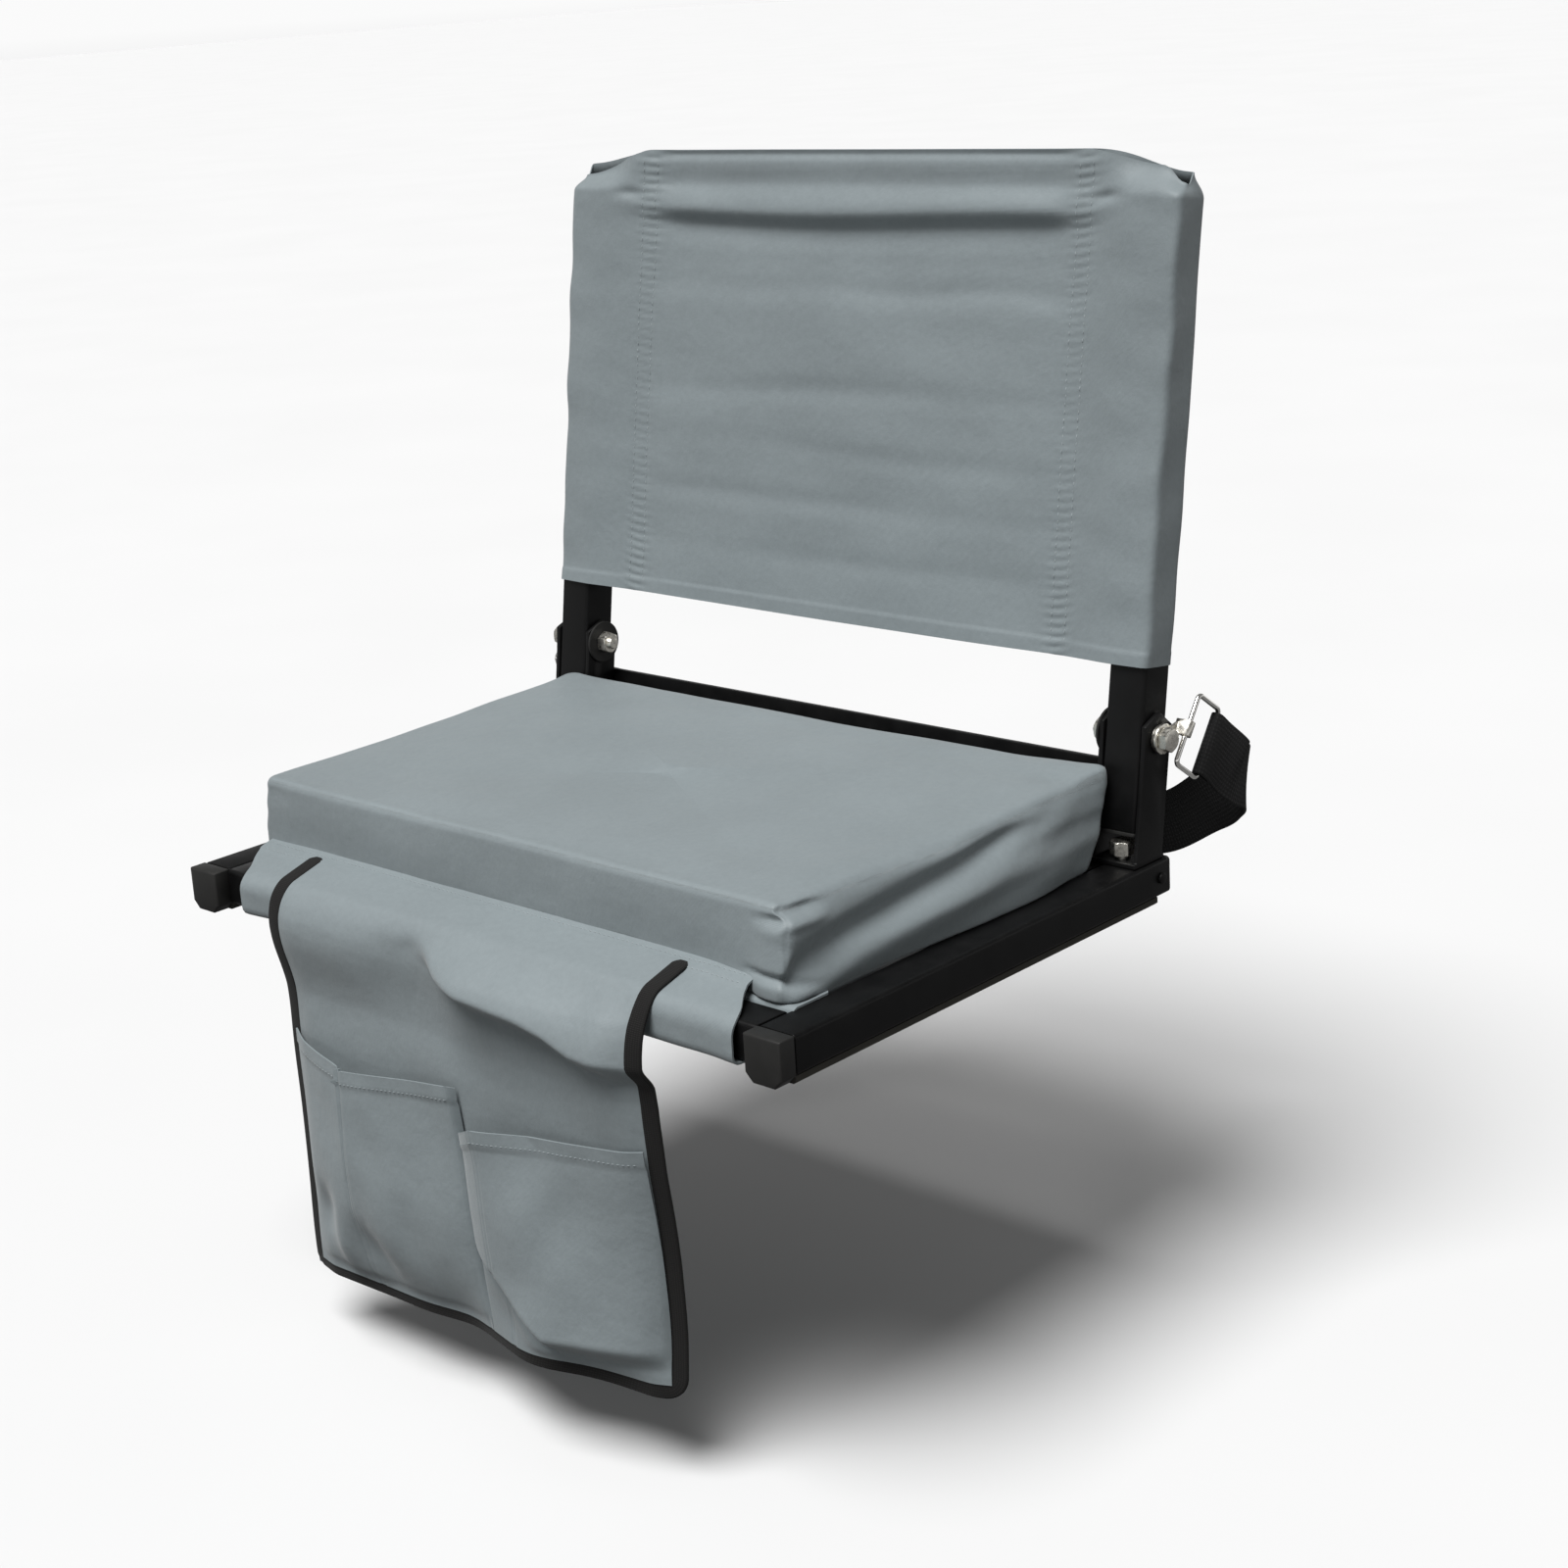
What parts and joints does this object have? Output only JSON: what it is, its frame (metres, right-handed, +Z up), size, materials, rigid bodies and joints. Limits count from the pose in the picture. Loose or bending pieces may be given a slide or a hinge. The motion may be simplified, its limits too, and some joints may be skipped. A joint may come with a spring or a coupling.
{
  "type": "folding stadium seat",
  "caption": "Folding bench seat with a steel rail frame, box cushion, canvas back that folds flat, hanging pocket pouch and carry strap.",
  "frame": {"origin": "on the bench plane under the rubber grips, midway between the rails and midway along them", "axes": "+Z up, +Y to the rear of the seat, +X to the sitter's left; left and right in names are as seen from the front, so right is +X"},
  "size_m": [0.5154, 0.4339, 0.6486],
  "materials": {
    "powder_black": "satin powder coat",
    "black_plastic": "matte moulded",
    "grip_rubber": "matte",
    "grey_canvas": "coated woven polyester, soft sheen",
    "edge_tape": "ribbed binding tape",
    "black_webbing": "woven webbing",
    "zinc_steel": "zinc plated",
    "bright_wire": "bright plated wire",
    "seat_foam": "open-cell foam"
  },
  "bodies": {
    "seat_frame": {"left_rail": "powder_black", "left_rail_front_cap": "black_plastic", "left_rail_rear_plug": "black_plastic", "left_plug_rivet": "powder_black", "left_grip_strip": "grip_rubber", "left_hinge_bracket": "powder_black", "left_bracket_bolt": "zinc_steel", "left_bracket_nut": "zinc_steel", "left_pivot_bolt": "zinc_steel", "left_pivot_nut": "zinc_steel", "left_pivot_washer": "zinc_steel", "left_pivot_disc": "black_plastic", "left_strap_hook": "zinc_steel", "left_strap_ring": "bright_wire", "left_yoke_binding": "edge_tape", "right_rail": "powder_black", "right_rail_front_cap": "black_plastic", "right_rail_rear_plug": "black_plastic", "right_plug_rivet": "powder_black", "right_grip_strip": "grip_rubber", "right_hinge_bracket": "powder_black", "right_bracket_bolt": "zinc_steel", "right_bracket_nut": "zinc_steel", "right_pivot_bolt": "zinc_steel", "right_pivot_nut": "zinc_steel", "right_pivot_washer": "zinc_steel", "right_pivot_disc": "black_plastic", "right_strap_hook": "zinc_steel", "right_strap_ring": "bright_wire", "right_yoke_binding": "edge_tape", "front_bar": "powder_black", "rear_bar": "powder_black", "seat_sling": "grey_canvas", "cushion_cover": "grey_canvas", "cushion_foam": "seat_foam", "carry_strap": "black_webbing", "pouch_yoke": "grey_canvas"},
    "backrest": {"left_upright": "powder_black", "left_foot_plug": "black_plastic", "left_top_plug": "black_plastic", "left_pivot_spacer": "zinc_steel", "left_stop_rivet_upper": "powder_black", "left_stop_rivet_lower": "powder_black", "right_upright": "powder_black", "right_foot_plug": "black_plastic", "right_top_plug": "black_plastic", "right_pivot_spacer": "zinc_steel", "right_stop_rivet_upper": "powder_black", "right_stop_rivet_lower": "powder_black", "stop_bar": "powder_black", "back_canvas": "grey_canvas"},
    "pouch": {"pouch_panel": "grey_canvas", "left_pocket": "grey_canvas", "right_pocket": "grey_canvas", "pouch_binding": "edge_tape"}
  },
  "joints": [
    {"name": "back_fold", "type": "hinge", "parent": "seat_frame", "child": "backrest", "pos_m": [0, 0.1626, 0.1], "axis": [1, 0, 0], "range_deg": [0, 98]},
    {"name": "pouch_swing", "type": "hinge", "parent": "seat_frame", "child": "pouch", "pos_m": [0, -0.1628, 0.0176], "axis": [1, 0, 0], "range_deg": [-110, 0]}
  ]
}
